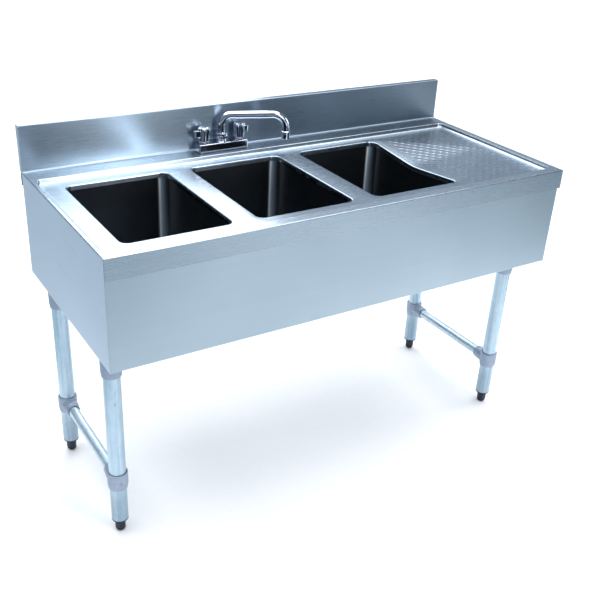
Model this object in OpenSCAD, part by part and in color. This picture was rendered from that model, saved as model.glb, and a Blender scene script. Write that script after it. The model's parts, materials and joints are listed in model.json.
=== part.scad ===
// Underbar sink with three drawn bowls, a right-hand drainboard, a rear faucet
// ledge with splash, and four tubular legs joined in pairs by low stretchers.
// Millimetres. X runs along the sink, Y from front to back, Z up from the floor.

/* [Overall] */
// length of the sink top
sink_l = 1219.2; // [1180:1:1400]
// front to back, apron face to the back of the splash
sink_d = 533.4; // [533.4:1:600]
// height of the rim above the floor
rim_h = 728; // [700:1:900]
// height of the splash above the rim
splash_h = 110.2; // [90:1:250]
// thickness of the stainless sheet
sheet = 1.2; // [1:0.1:2]

/* [Top] */
// depth of the work deck below the rim
recess = 11; // [6:1:14]
// width of the rim along the front
rim_front = 26; // [20:1:34]
// width of the rim at the left end
rim_left = 8; // [6:1:20]
// width of the rim at the right end
rim_right = 22; // [14:1:34]
// width of the faucet ledge in front of the splash
ledge_w = 55; // [50:1:70]
// depth of the turn-down along the front and the right end
apron_h = 48; // [40:1:60]
// depth of the turn-down along the back
rear_hem = 36; // [25:1:50]

/* [Bowls] */
// width of a bowl, inside
bowl_w = 254; // [220:1:254]
// front to back of a bowl, inside
bowl_d = 355.6; // [300:1:355.6]
// depth of a bowl below the work deck
bowl_depth = 254; // [200:1:300]
// corner radius of a bowl, inside
bowl_r = 21; // [15:1:60]
// distance between the middles of neighbouring bowls
bowl_pitch = 308.5; // [300:0.5:320]
// middle of the left bowl from the left end
bowl_start = 190.5; // [190.5:0.5:200]
// middle of the bowls from the front
bowl_mid_y = 248.5; // [245:0.5:252]
// how far the lip of the top reaches over the bowl wall
lip_over = 3; // [2:0.5:5]
// depth of the lip turned down into the bowl
lip_h = 12; // [8:1:16]
// fall of the drainboard where it pours into the right bowl
pour_drop = 17; // [8:1:20]

/* [Panels] */
// height of the front and end panels, from the rim down
panel_h = 253; // [230:1:300]
// how far the right end panel stands in from the end of the top
panel_inset = 9; // [6:1:16]
// depth of the splash box, front to back
splash_t = 19.4; // [18:0.2:30]

/* [Legs] */
// outside diameter of a leg tube
leg_dia = 38.1; // [32:0.1:41]
// wall of a leg tube
leg_wall = 1.6; // [1.2:0.1:2]
// middle of the left legs from the left end
leg_left = 30; // [30:0.5:31]
// middle of the right legs from the left end
leg_right = 1152; // [1020:1:1156]
// middle of the front legs from the front
leg_front = 79; // [70:1:100]
// middle of the rear legs from the front
leg_rear = 420; // [380:1:440]
// how far a leg socket hangs below the panels
socket_drop = 53; // [40:1:70]
// height of the stretchers above the floor
stretcher_z = 145; // [120:1:250]
// outside diameter of a stretcher tube
stretcher_dia = 25.4; // [22:0.1:28]
// height of a levelling foot, wound fully in
foot_h = 31; // [26:1:34]

/* [Drains] */
// outside diameter of a drain tailpiece
tail_dia = 38.1; // [32:0.1:38.1]
// length of a tailpiece below the drain body
tail_l = 75; // [50:1:80]

/* [Faucet] */
// middle of the faucet from the left end
faucet_x = 499.5; // [440:1:560]
// middle of the faucet from the front
faucet_y = 493; // [492:0.5:494]
// distance between the two valves
valve_pitch = 101.6; // [100:0.2:104]
// height of the faucet body above the ledge
body_h = 22; // [18:1:26]
// spout reach from the swivel to the outlet
spout_reach = 166; // [150:1:220]
// height of the level run of the spout above the ledge
spout_rise = 88; // [84:1:90]
// outside diameter of the spout tube
spout_dia = 19; // [16:0.5:20]
// swing of the spout towards the front
spout_swing = 19; // [0:1:45]

/* [Hidden] */
$fn = 96;

// gap kept between parts that move past each other
gap = 0.3;
// radial clearance of a shaft in its hole
fit = 0.05;

// heights of the main surfaces
total_h = rim_h + splash_h;
deck_z = rim_h - recess;
floor_z = deck_z - bowl_depth;
panel_z = rim_h - panel_h;
under_z = rim_h - sheet;

// lines of the top, measured from the front and from the left end
splash_y = sink_d - splash_t;
ledge_y = splash_y - ledge_w;
hem_inset = 15.6;
hem_y = sink_d - hem_inset;
recess_r = 12;

// opening over each bowl
open_w = bowl_w - 2 * lip_over;
open_d = bowl_d - 2 * lip_over;
open_r = bowl_r - lip_over;
open_front = bowl_mid_y - open_d / 2;
open_right = bowl_start + 2 * bowl_pitch + open_w / 2;
crease_inset = 19;
board_end = sink_l - rim_right - crease_inset;

// front panel stands just behind the apron
panel_y = 1.5;
panel_hem = 17;
end_hem = 3.5;
brace_hem = 12;

// channels that carry the legs
channel_z = panel_z + sheet;
channel_w = 52;
channel_t = 1.8;
channel_rise = 28;

// sockets and legs
socket_r = 23;
socket_z = panel_z - socket_drop;
socket_top = channel_z;
socket_flange_r = 25;
socket_flange_t = 3;
leg_r = leg_dia / 2;
insert_flange = 4;
leg_z = foot_h + insert_flange;
leg_top = panel_z - 2;
socket_screw_r = 4;
socket_screw_z = (socket_z + leg_top) / 2;
LEG_AT = [[leg_left, leg_front], [leg_left, leg_rear], [leg_right, leg_front],
    [leg_right, leg_rear]];

// feet and the inserts they wind into
insert_r = leg_r - leg_wall;
insert_h = 22;
foot_screw_r = 5;
foot_screw_l = 46;
foot_r = 11;

// stretchers and their collars
collar_r = 23.2;
collar_h = 43;
collar_bore = leg_r + fit;
stretcher_r = stretcher_dia / 2;
boss_r = 16.7;
boss_reach = 46;
stretcher_wall = 1.5;
collar_screw_r = 3;

// drains
drain_flange_r = 31;
drain_body_r = 22;
drain_bore = tail_dia / 2 - 0.5;
drain_body_l = 48;
tail_inserted = 16;
gasket_t = 3;
locknut_t = 9;

// faucet
body_w = 139;
body_d = 36;
body_r = 6;
shank_r = 10.4;
shank_bore = 6.5;
shank_l = 58;
shank_free = 44;
washer_r = 16;
washer_t = 2.5;
gasket_h = 1.5;
hub_h = 7;
spout_seat = 12;
bonnet_r = 13;
bonnet_h = 4;
stem_r = 4;
stem_seat = 12;
stem_grip = 20;
handle_r = 12;
lobe_r = 4.5;
handle_h = 38;
HANDLE_LOBES = 5;
cap_r = 8;
cap_sunk = 2;
spout_nut_r = 16.3;
spout_nut_h = 15;
spout_r = spout_dia / 2;
spout_wall = 1;
rise_bend_r = 24;
outlet_bend_r = 36;
outlet_drop = 51;
aerator_r = 12;
aerator_h = 20;

// places the corner-based drawing on the middle of the footprint
module on_floor() {
    translate([-sink_l / 2, -sink_d / 2, 0]) children();
}

module stainless() {
    color([0.72, 0.75, 0.79]) on_floor() children();
}

module galvanised() {
    color([0.72, 0.80, 0.84]) on_floor() children();
}

module cast_alloy() {
    color([0.60, 0.62, 0.68]) on_floor() children();
}

module black_plastic() {
    color([0.06, 0.07, 0.10]) on_floor() children();
}

module black_rubber() {
    color([0.09, 0.09, 0.09]) on_floor() children();
}

module chrome() {
    color([0.86, 0.88, 0.90]) on_floor() children();
}

// flat rounded rectangle centred on the origin
module rounded(w, d, r) {
    square([w - 2 * r, d], center = true);
    square([w, d - 2 * r], center = true);
    for (x = [-1, 1], y = [-1, 1])
        translate([x * (w / 2 - r), y * (d / 2 - r)]) circle(r);
}

// ring with the wall outside a rounded rectangle
module rounded_ring(w, d, r, wall) {
    difference() {
        rounded(w + 2 * wall, d + 2 * wall, r + wall);
        rounded(w, d, r);
    }
}

module tube(outer, inner, length) {
    difference() {
        cylinder(r = outer, h = length);
        translate([0, 0, -1]) cylinder(r = inner, h = length + 2);
    }
}

// six-sided nut with a hole, measured across the flats
module hex_nut(flats, hole, length) {
    difference() {
        cylinder(d = flats / cos(30), h = length, $fn = 6);
        translate([0, 0, -1]) cylinder(r = hole, h = length + 2);
    }
}

// flat outline of the sunken work deck
module recess_outline(grow = 0) {
    w = sink_l - rim_left - rim_right;
    d = ledge_y - rim_front;
    translate([rim_left + w / 2, rim_front + d / 2])
        rounded(w + 2 * grow, d + 2 * grow, recess_r + grow);
}

module at_bowl(i) {
    translate([bowl_start + i * bowl_pitch, bowl_mid_y, 0]) children();
}

module each_bowl() {
    for (i = [0 : 2]) at_bowl(i) children();
}

// hollow of the drainboard: a crease along the middle that deepens to the bowl
module pour_hollow(lower = 0) {
    mid = bowl_mid_y;
    half = open_d / 2;
    points = [[open_right, mid - half, deck_z - lower], [open_right, mid + half, deck_z - lower],
        [board_end, mid, deck_z - lower], [open_right, mid, deck_z - pour_drop - lower]];
    polyhedron(points, [[0, 1, 2], [1, 0, 3], [0, 2, 3], [2, 1, 3]]);
}

// rim, ledge and deck of the top, with its turn-downs
module sink_top() {
    stainless() difference() {
        union() {
            translate([0, 0, under_z])
                linear_extrude(sheet)
                    difference() {
                        square([sink_l, sink_d]);
                        recess_outline();
                        for (x = [-1, sink_l - sheet])
                            translate([x, hem_y + sheet]) square([sheet + 1, sink_d]);
                    }
            translate([0, 0, deck_z - sheet])
                linear_extrude(recess)
                    difference() {
                        recess_outline(sheet);
                        recess_outline();
                    }
            translate([0, 0, deck_z - sheet]) linear_extrude(sheet) recess_outline();
            each_bowl()
                translate([0, 0, deck_z - lip_h])
                    linear_extrude(lip_h - sheet)
                        rounded_ring(open_w, open_d, open_r, sheet);
            pour_hollow(sheet);
            translate([0, 0, rim_h - apron_h])
                cube([sink_l, sheet, apron_h - sheet]);
            translate([sink_l - sheet, sheet, rim_h - apron_h])
                cube([sheet, hem_y - sheet, apron_h - sheet]);
            translate([sheet, hem_y, rim_h - rear_hem])
                cube([sink_l - sheet, sheet, rear_hem - sheet]);
        }
        each_bowl()
            translate([0, 0, deck_z - 2 * lip_h])
                linear_extrude(3 * lip_h)
                    rounded(open_w, open_d, open_r);
        pour_hollow();
        for (s = [-1, 1])
            translate([faucet_x + s * valve_pitch / 2, faucet_y, under_z - 1])
                cylinder(r = shank_r + 1, h = sheet + 2);
    }
}

// one bowl with upright walls, a flat floor and a hole for the drain
module bowl(i) {
    stainless() difference() {
        at_bowl(i) {
            translate([0, 0, floor_z])
                linear_extrude(bowl_depth - sheet)
                    rounded_ring(bowl_w, bowl_d, bowl_r, sheet);
            translate([0, 0, floor_z - sheet])
                linear_extrude(sheet)
                    difference() {
                        rounded(bowl_w + 2 * sheet, bowl_d + 2 * sheet, bowl_r + sheet);
                        circle(drain_body_r + gap);
                    }
        }
        if (i == 2) pour_relief();
    }
}

// part of the right bowl wall that gives way to the hollow of the drainboard
module pour_relief() {
    translate([open_right - 1, 0, 0])
        rotate([90, 0, 90])
            linear_extrude(lip_over + sheet + 2)
                polygon([[bowl_mid_y - open_d / 2, deck_z], [bowl_mid_y + open_d / 2, deck_z],
                    [bowl_mid_y + open_d / 2, deck_z - 2 * sheet],
                    [bowl_mid_y, deck_z - pour_drop - 2 * sheet],
                    [bowl_mid_y - open_d / 2, deck_z - 2 * sheet]]);
}

// splash box: front face, top return, back hem, foot hem and closed ends
module backsplash() {
    inner_y = splash_y + sheet;
    back_y = sink_d - sheet;
    hem_h = 30;
    end_drop = 9;
    end_z = rim_h - end_drop;
    stainless() {
        translate([0, splash_y, rim_h]) cube([sink_l, sheet, splash_h]);
        translate([0, inner_y, total_h - sheet]) cube([sink_l, splash_t - sheet, sheet]);
        for (z = [rim_h, total_h - hem_h])
            translate([0, back_y, z]) cube([sink_l, sheet, hem_h - sheet]);
        for (x = [0, sink_l - sheet])
            translate([x, 0, 0])
                rotate([90, 0, 90])
                    linear_extrude(sheet)
                        polygon([[inner_y, rim_h], [hem_y + sheet, rim_h], [hem_y + sheet, end_z],
                            [sink_d, end_z], [sink_d, total_h - sheet], [inner_y, total_h - sheet]]);
    }
}

// front panel behind the apron, hemmed inwards along the bottom
module front_panel() {
    length = sink_l - panel_inset - 2 * sheet;
    stainless() {
        translate([sheet, panel_y, panel_z]) cube([length, sheet, panel_h - sheet]);
        translate([sheet, panel_y + sheet, panel_z]) cube([length, panel_hem, sheet]);
    }
}

// end panel with its outer face at x, hemmed towards dir
module end_panel(x, dir) {
    inward = dir > 0 ? x : x - sheet;
    hem_x = dir > 0 ? x + sheet : x - sheet - end_hem;
    hem_start = panel_y + sheet + panel_hem + gap;
    translate([inward, panel_y, panel_z])
        cube([sheet, hem_y + sheet - panel_y, rim_h - rear_hem - panel_z]);
    translate([inward, panel_y, rim_h - rear_hem])
        cube([sheet, hem_y - panel_y, rear_hem - sheet]);
    translate([hem_x, hem_start, panel_z])
        cube([end_hem, hem_y - hem_start - panel_hem, sheet]);
}

module left_end_panel() {
    stainless() end_panel(0, 1);
}

module right_end_panel() {
    stainless() end_panel(sink_l - panel_inset, -1);
}

// angle along the open back that ties the two leg channels
module rear_brace() {
    length = sink_l - panel_inset - 2 * sheet;
    upright = 48;
    stainless() {
        translate([sheet, hem_y, panel_z]) cube([length, sheet, upright]);
        translate([sheet, hem_y - brace_hem, panel_z]) cube([length, brace_hem, sheet]);
    }
}

// upturned channel across the underside that the sockets are welded to
module leg_channel(x) {
    length = hem_y - panel_y - sheet;
    galvanised() translate([x - channel_w / 2, panel_y + sheet, channel_z]) {
        cube([channel_w, length, channel_t]);
        for (side = [0, channel_w - channel_t])
            translate([side, 0, channel_t]) cube([channel_t, length, channel_rise]);
    }
}

// cast socket with a welding flange and a chamfered mouth
module leg_socket(at) {
    chamfer = 3;
    cast_alloy() translate([at[0], at[1], 0]) {
        difference() {
            union() {
                translate([0, 0, socket_z + chamfer])
                    cylinder(r = socket_r, h = socket_top - socket_z - chamfer);
                translate([0, 0, socket_z])
                    cylinder(r1 = socket_r - chamfer / 2, r2 = socket_r, h = chamfer);
                translate([0, 0, socket_top - socket_flange_t])
                    cylinder(r = socket_flange_r, h = socket_flange_t);
            }
            translate([0, 0, socket_z - 1])
                cylinder(r = leg_r + fit, h = leg_top - socket_z + 1);
            translate([0, 0, socket_screw_z])
                rotate([0, 90, at[0] < sink_l / 2 ? 0 : 180])
                    cylinder(r = socket_screw_r + fit, h = 2 * socket_r);
        }
    }
}

module leg(at) {
    galvanised() translate([at[0], at[1], leg_z])
        tube(leg_r, leg_r - leg_wall, leg_top - leg_z);
}

// flanged plastic plugs in the ends of the legs, threaded for the feet
module foot_inserts() {
    black_plastic() for (at = LEG_AT)
        translate([at[0], at[1], foot_h + gap]) difference() {
            union() {
                cylinder(r = leg_r, h = leg_z - foot_h - gap);
                cylinder(r = insert_r, h = insert_h);
            }
            translate([0, 0, -1]) cylinder(r = foot_screw_r + fit, h = insert_h + 2);
        }
}

// levelling foot: rounded tip, hexagon for the spanner and a screw
module foot(at) {
    tip = 7;
    collar_t = 4;
    black_plastic() translate([at[0], at[1], 0]) {
        cylinder(r1 = foot_r - 3, r2 = foot_r, h = tip);
        translate([0, 0, tip])
            cylinder(d = 2 * foot_r / cos(30), h = foot_h - tip - collar_t, $fn = 6);
        translate([0, 0, foot_h - collar_t]) cylinder(r = foot_r, h = collar_t);
        translate([0, 0, foot_h]) cylinder(r = foot_screw_r, h = foot_screw_l);
    }
}

// tee collar: sleeve on the leg and a boss for the stretcher
module stretcher_collar(at, dir) {
    cast_alloy() translate([at[0], at[1], stretcher_z]) difference() {
        union() {
            translate([0, 0, -collar_h / 2]) cylinder(r = collar_r, h = collar_h);
            rotate([-90 * dir, 0, 0]) cylinder(r = boss_r, h = boss_reach);
        }
        translate([0, 0, -collar_h]) cylinder(r = collar_bore, h = 2 * collar_h);
        rotate([-90 * dir, 0, 0])
            translate([0, 0, collar_bore - 4])
                cylinder(r = stretcher_r + fit, h = boss_reach);
        rotate([90 * dir, 0, 0]) cylinder(r = collar_screw_r + fit, h = 2 * collar_r);
    }
}

module stretcher(x) {
    inset = leg_r + 3;
    galvanised() translate([x, leg_front + inset, stretcher_z])
        rotate([-90, 0, 0])
            tube(stretcher_r, stretcher_r - stretcher_wall, leg_rear - leg_front - 2 * inset);
}

// screws that clamp each collar on its leg
module collar_set_screws() {
    key = 4;
    chrome() for (at = LEG_AT)
        translate([at[0], at[1], stretcher_z])
            rotate([at[1] == leg_front ? 90 : -90, 0, 0])
                translate([0, 0, leg_r])
                    difference() {
                        cylinder(r = collar_screw_r, h = collar_r - leg_r + 1);
                        translate([0, 0, collar_r - leg_r - 1])
                            cylinder(d = key, h = 3, $fn = 6);
                    }
}

// screws that clamp each leg in its socket
module socket_set_screws() {
    key = 5;
    chrome() for (at = LEG_AT)
        translate([at[0], at[1], socket_screw_z])
            rotate([0, 90, at[0] < sink_l / 2 ? 0 : 180])
                translate([0, 0, leg_r])
                    difference() {
                        cylinder(r = socket_screw_r, h = socket_r - leg_r + 1);
                        translate([0, 0, socket_r - leg_r - 1.5])
                            cylinder(d = key, h = 4, $fn = 6);
                    }
}

// drain body: flange inside the bowl, tube through the floor and cross bars
module drain(i) {
    flange_t = 2;
    bar = 3;
    bar_depth = 6;
    chrome() at_bowl(i) translate([0, 0, floor_z]) {
        difference() {
            union() {
                cylinder(r = drain_flange_r, h = flange_t);
                translate([0, 0, -drain_body_l]) cylinder(r = drain_body_r, h = drain_body_l);
            }
            translate([0, 0, -drain_body_l - 1]) cylinder(r = drain_bore, h = drain_body_l + 4);
        }
        for (a = [0, 90])
            rotate(a) translate([-drain_bore - 0.5, -bar / 2, -bar_depth])
                cube([2 * drain_bore + 1, bar, bar]);
    }
}

module drain_gaskets() {
    black_rubber() each_bowl()
        translate([0, 0, floor_z - sheet - gasket_t])
            tube(drain_flange_r, drain_body_r + 0.1, gasket_t);
}

module drain_locknuts() {
    flats = 56;
    chrome() each_bowl()
        translate([0, 0, floor_z - sheet - gasket_t - locknut_t])
            hex_nut(flats, drain_body_r + 0.1, locknut_t);
}

module tailpiece(i) {
    bore = tail_dia / 2 - 1.6;
    chrome() at_bowl(i) translate([0, 0, floor_z - drain_body_l - tail_l]) {
        tube(tail_dia / 2, bore, tail_l);
        translate([0, 0, tail_l]) tube(drain_bore - fit, bore, tail_inserted);
    }
}

module at_faucet() {
    translate([faucet_x, faucet_y, rim_h]) children();
}

module at_valve(side) {
    at_faucet() translate([side * valve_pitch / 2, 0, 0]) children();
}

module faucet_gasket() {
    black_rubber() at_faucet() linear_extrude(gasket_h) difference() {
        rounded(body_w - 4, body_d - 4, body_r - 2);
        for (s = [-1, 1]) translate([s * valve_pitch / 2, 0]) circle(shank_r + 1);
    }
}

// bar body with a hub for the spout and seats for the valves
module faucet_body() {
    inlet_depth = 6;
    valve_depth = stem_seat + 2;
    chrome() at_faucet() difference() {
        union() {
            translate([0, 0, gasket_h]) linear_extrude(body_h - gasket_h) rounded(body_w, body_d, body_r);
            translate([0, 0, body_h]) cylinder(r = spout_r + 3, h = hub_h);
        }
        translate([0, 0, body_h - spout_seat])
            cylinder(r = spout_r + fit, h = spout_seat + hub_h + 1);
        for (s = [-1, 1]) translate([s * valve_pitch / 2, 0, 0]) {
            translate([0, 0, body_h - valve_depth])
                cylinder(r = stem_r + fit, h = valve_depth + 1);
            cylinder(r = shank_bore, h = inlet_depth);
        }
    }
}

// threaded inlets below the body, a little slimmer where the supply nuts go on
module inlet_shanks() {
    upper = shank_l - shank_free;
    chrome() for (s = [-1, 1]) at_valve(s) {
        translate([0, 0, -shank_l]) tube(shank_r, shank_bore, shank_free);
        translate([0, 0, -upper]) tube(shank_r + 0.3, shank_bore, upper + gasket_h);
    }
}

module shank_washers() {
    black_rubber() for (s = [-1, 1]) at_valve(s)
        translate([0, 0, -sheet - washer_t]) tube(washer_r, shank_r + 0.4, washer_t);
}

module shank_locknuts() {
    flats = 30;
    nut_h = 7;
    chrome() for (s = [-1, 1]) at_valve(s)
        translate([0, 0, -sheet - washer_t - nut_h]) hex_nut(flats, shank_r + 0.4, nut_h);
}

// valve bonnet: hexagon under a round collar
module bonnet(side) {
    hex_h = 2.5;
    chrome() at_valve(side) translate([0, 0, body_h]) difference() {
        union() {
            cylinder(d = 2 * bonnet_r, h = hex_h, $fn = 6);
            translate([0, 0, hex_h]) cylinder(r = bonnet_r - 3, h = bonnet_h - hex_h);
        }
        translate([0, 0, -1]) cylinder(r = stem_r + fit, h = bonnet_h + 2);
    }
}

module stem(side) {
    chrome() at_valve(side)
        translate([0, 0, body_h - stem_seat])
            cylinder(r = stem_r, h = stem_seat + bonnet_h + stem_grip);
}

// fluted knob with one longer wing pointing away from the spout
module handle(side) {
    wing = 15;
    wing_z = 12;
    wing_h = 17;
    skirt = 3;
    crown = 5;
    chrome() at_valve(side) translate([0, 0, body_h + bonnet_h + gap]) difference() {
        union() {
            cylinder(r = handle_r + 1, h = skirt);
            linear_extrude(handle_h - crown) {
                circle(handle_r);
                for (k = [0 : HANDLE_LOBES - 1])
                    rotate(k * 360 / HANDLE_LOBES + (side > 0 ? 0 : 180))
                        translate([handle_r, 0]) circle(lobe_r);
            }
            translate([0, 0, wing_z])
                linear_extrude(wing_h)
                    translate([side > 0 ? 0 : -handle_r - wing, -lobe_r])
                        square([handle_r + wing, 2 * lobe_r]);
            translate([0, 0, handle_h - crown])
                cylinder(r1 = handle_r, r2 = handle_r - 3, h = crown);
        }
        translate([0, 0, -1]) cylinder(r = stem_r + fit, h = stem_grip + 1 - gap);
        translate([0, 0, handle_h - cap_sunk]) cylinder(r = cap_r + fit, h = cap_sunk + 1);
    }
}

module handle_cap(side) {
    chrome() at_valve(side)
        translate([0, 0, body_h + bonnet_h + gap + handle_h - cap_sunk])
            cylinder(r = cap_r, h = cap_sunk + 0.5);
}

// nut that holds the spout down on the body
module spout_nut() {
    nut_z = body_h + hub_h + gap;
    collar = 5;
    top_bevel = 3;
    chrome() at_faucet() translate([0, 0, nut_z]) difference() {
        union() {
            cylinder(r = spout_nut_r - 2, h = spout_nut_h - collar - top_bevel);
            translate([0, 0, spout_nut_h - collar - top_bevel])
                cylinder(r = spout_nut_r, h = collar);
            translate([0, 0, spout_nut_h - top_bevel])
                cylinder(r1 = spout_nut_r, r2 = spout_nut_r - top_bevel, h = top_bevel);
        }
        translate([0, 0, -1]) cylinder(r = spout_r + fit, h = spout_nut_h + 2);
    }
}

// path of the spout as a solid of radius r, from the body to the outlet
module spout_path(r, start, extra = 0) {
    run = spout_reach - rise_bend_r - outlet_bend_r;
    translate([0, 0, start]) cylinder(r = r, h = spout_rise - rise_bend_r - start);
    translate([rise_bend_r, 0, spout_rise - rise_bend_r])
        rotate([90, 0, 0]) rotate([0, 0, 90])
            rotate_extrude(angle = 90) translate([rise_bend_r, 0]) circle(r);
    translate([rise_bend_r, 0, spout_rise]) rotate([0, 90, 0]) cylinder(r = r, h = run);
    translate([rise_bend_r + run, 0, spout_rise - outlet_bend_r])
        rotate([90, 0, 0])
            rotate_extrude(angle = 90) translate([outlet_bend_r, 0]) circle(r);
    translate([spout_reach, 0, spout_rise - outlet_drop - extra])
        cylinder(r = r, h = outlet_drop - outlet_bend_r + extra);
}

module spout_tube() {
    start = body_h - spout_seat + 1;
    chrome() at_faucet() rotate(-spout_swing) difference() {
        spout_path(spout_r, start);
        spout_path(spout_r - spout_wall, start - 1, 1);
    }
}

module aerator() {
    thread = 8;
    chrome() at_faucet() rotate(-spout_swing)
        translate([spout_reach, 0, spout_rise - outlet_drop + thread - aerator_h]) difference() {
            union() {
                cylinder(r1 = aerator_r - 1.5, r2 = aerator_r, h = 3);
                translate([0, 0, 3]) cylinder(r = aerator_r, h = aerator_h - 3);
            }
            translate([0, 0, -1]) cylinder(r = aerator_r - 3.5, h = aerator_h + 2);
            translate([0, 0, aerator_h - thread]) cylinder(r = spout_r + fit, h = thread + 1);
        }
}

sink_top();
bowl(0);  // bowl_left
bowl(1);  // bowl_center
bowl(2);  // bowl_right
backsplash();
front_panel();
left_end_panel();
right_end_panel();
rear_brace();
leg_channel(leg_left);  // leg_channel_left
leg_channel(leg_right);  // leg_channel_right
leg_socket(LEG_AT[0]);  // leg_socket_front_left
leg_socket(LEG_AT[1]);  // leg_socket_rear_left
leg_socket(LEG_AT[2]);  // leg_socket_front_right
leg_socket(LEG_AT[3]);  // leg_socket_rear_right
leg(LEG_AT[0]);  // leg_front_left
leg(LEG_AT[1]);  // leg_rear_left
leg(LEG_AT[2]);  // leg_front_right
leg(LEG_AT[3]);  // leg_rear_right
foot_inserts();
foot(LEG_AT[0]);  // foot_front_left
foot(LEG_AT[1]);  // foot_rear_left
foot(LEG_AT[2]);  // foot_front_right
foot(LEG_AT[3]);  // foot_rear_right
stretcher_collar(LEG_AT[0], 1);  // stretcher_collar_front_left
stretcher_collar(LEG_AT[1], -1);  // stretcher_collar_rear_left
stretcher_collar(LEG_AT[2], 1);  // stretcher_collar_front_right
stretcher_collar(LEG_AT[3], -1);  // stretcher_collar_rear_right
stretcher(leg_left);  // stretcher_left
stretcher(leg_right);  // stretcher_right
collar_set_screws();
socket_set_screws();
drain(0);  // drain_left
drain(1);  // drain_center
drain(2);  // drain_right
drain_gaskets();
drain_locknuts();
tailpiece(0);  // tailpiece_left
tailpiece(1);  // tailpiece_center
tailpiece(2);  // tailpiece_right
faucet_body();
faucet_gasket();
inlet_shanks();
shank_washers();
shank_locknuts();
bonnet(-1);  // bonnet_hot
bonnet(1);  // bonnet_cold
stem(-1);  // stem_hot
stem(1);  // stem_cold
handle(-1);  // handle_hot
handle(1);  // handle_cold
handle_cap(-1);  // handle_cap_hot
handle_cap(1);  // handle_cap_cold
spout_nut();
spout_tube();
aerator();
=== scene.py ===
"""Looks for the three compartment sink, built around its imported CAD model.

Shapes are worked out in millimetres in the CAD model's frame: X along the sink, Y to the back, Z up
from the floor. Their places come from the CAD boxes, so each refined mesh sits where its solid does,
and they are turned into metres as they are made. Materials, lights and the camera are in metres.
"""
import json
import math

import bmesh
import bpy
from mathutils import Matrix, Vector
from mathutils.geometry import delaunay_2d_cdt


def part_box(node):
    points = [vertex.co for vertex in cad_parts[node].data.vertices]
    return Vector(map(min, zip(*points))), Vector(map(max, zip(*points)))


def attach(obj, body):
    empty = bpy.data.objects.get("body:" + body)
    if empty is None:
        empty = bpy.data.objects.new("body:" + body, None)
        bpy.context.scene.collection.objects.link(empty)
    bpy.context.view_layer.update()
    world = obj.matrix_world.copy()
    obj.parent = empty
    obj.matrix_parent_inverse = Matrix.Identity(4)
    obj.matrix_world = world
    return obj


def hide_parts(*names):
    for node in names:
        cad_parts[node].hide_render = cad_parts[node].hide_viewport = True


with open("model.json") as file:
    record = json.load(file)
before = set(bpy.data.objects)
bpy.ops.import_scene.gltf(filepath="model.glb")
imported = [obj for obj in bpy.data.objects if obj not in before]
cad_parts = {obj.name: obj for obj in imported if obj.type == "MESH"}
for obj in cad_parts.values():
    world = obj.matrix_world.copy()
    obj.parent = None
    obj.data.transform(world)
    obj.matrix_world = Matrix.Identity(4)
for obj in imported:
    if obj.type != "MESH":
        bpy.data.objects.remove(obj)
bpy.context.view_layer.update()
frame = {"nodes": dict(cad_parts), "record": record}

MM = 0.001
SHEET = 1.2


def box_mm(node):
    """Lowest and highest corner of a CAD node in millimetres."""
    low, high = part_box(node)
    return Vector(low) / MM, Vector(high) / MM


def middle(node):
    low, high = box_mm(node)
    return (low + high) / 2


def half_width(node):
    low, high = box_mm(node)
    return (high.x - low.x) / 2


# main surfaces of the sink, from the CAD model
TOP_LOW, TOP_HIGH = box_mm("sink_top")
SPLASH_LOW, SPLASH_HIGH = box_mm("backsplash")
BOWLS = ["bowl_left", "bowl_center", "bowl_right"]
CORNERS = ["front_left", "rear_left", "front_right", "rear_right"]
LEFT, RIGHT, FRONT = TOP_LOW.x, TOP_HIGH.x, TOP_LOW.y
RIM = TOP_HIGH.z
SPLASH_Y = SPLASH_LOW.y
DECK = box_mm("bowl_left")[1].z + SHEET
BOWL_FLOOR = box_mm("bowl_left")[0].z + SHEET
APRON = RIM - TOP_LOW.z

# the sunken deck and the openings over the bowls, as in the CAD model
RIM_FRONT, RIM_LEFT, RIM_RIGHT, LEDGE = 26, 8, 22, 55
LIP_OVER, LIP_H = 3, 12
BOWL_R = 21
POUR_DROP = 17
CREASE_INSET = 19
CREASE_END = RIGHT - RIM_RIGHT - CREASE_INSET
RECESS = (Vector((LEFT + RIM_LEFT, FRONT + RIM_FRONT)), Vector((RIGHT - RIM_RIGHT, SPLASH_Y - LEDGE)))

# roundings of the visual meshes
RECESS_R = 16
OUTER_R = 2.2
SPLASH_COVE = 6
LIP_ROUND = 3.0

# legs and their fittings
LEG_R, LEG_WALL = 19.05, 1.6
STRETCHER_R, STRETCHER_WALL = 12.7, 1.5
CHANNEL_SHEET = 1.8


# -------- shapes

def arc(centre, radius, start, end, steps):
    """Points of an arc in a plane, angles in degrees, both ends included."""
    angles = [math.radians(start + (end - start) * k / steps) for k in range(steps + 1)]
    return [(centre[0] + radius * math.cos(a), centre[1] + radius * math.sin(a)) for a in angles]


def quarter(radius, steps):
    """Steps of a rounded edge: how far in and how far down."""
    angles = [math.radians(90 * k / steps) for k in range(steps + 1)]
    return [(radius * (1 - math.sin(a)), radius * (1 - math.cos(a))) for a in angles]


def rounded_path(points, radius, steps=6):
    """An open path through points with each inner corner rounded."""
    path = [Vector(points[0])]
    for before, here, after in zip(points, points[1:], points[2:]):
        here = Vector(here)
        to_before = (Vector(before) - here).normalized()
        to_after = (Vector(after) - here).normalized()
        half = to_before.angle(to_after) / 2
        reach = radius / math.tan(half)
        centre = here + (to_before + to_after).normalized() * radius / math.sin(half)
        start = here + to_before * reach - centre
        end = here + to_after * reach - centre
        for k in range(steps + 1):
            path.append(centre + start.slerp(end, k / steps).normalized() * radius)
    path.append(Vector(points[-1]))
    return path


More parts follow.
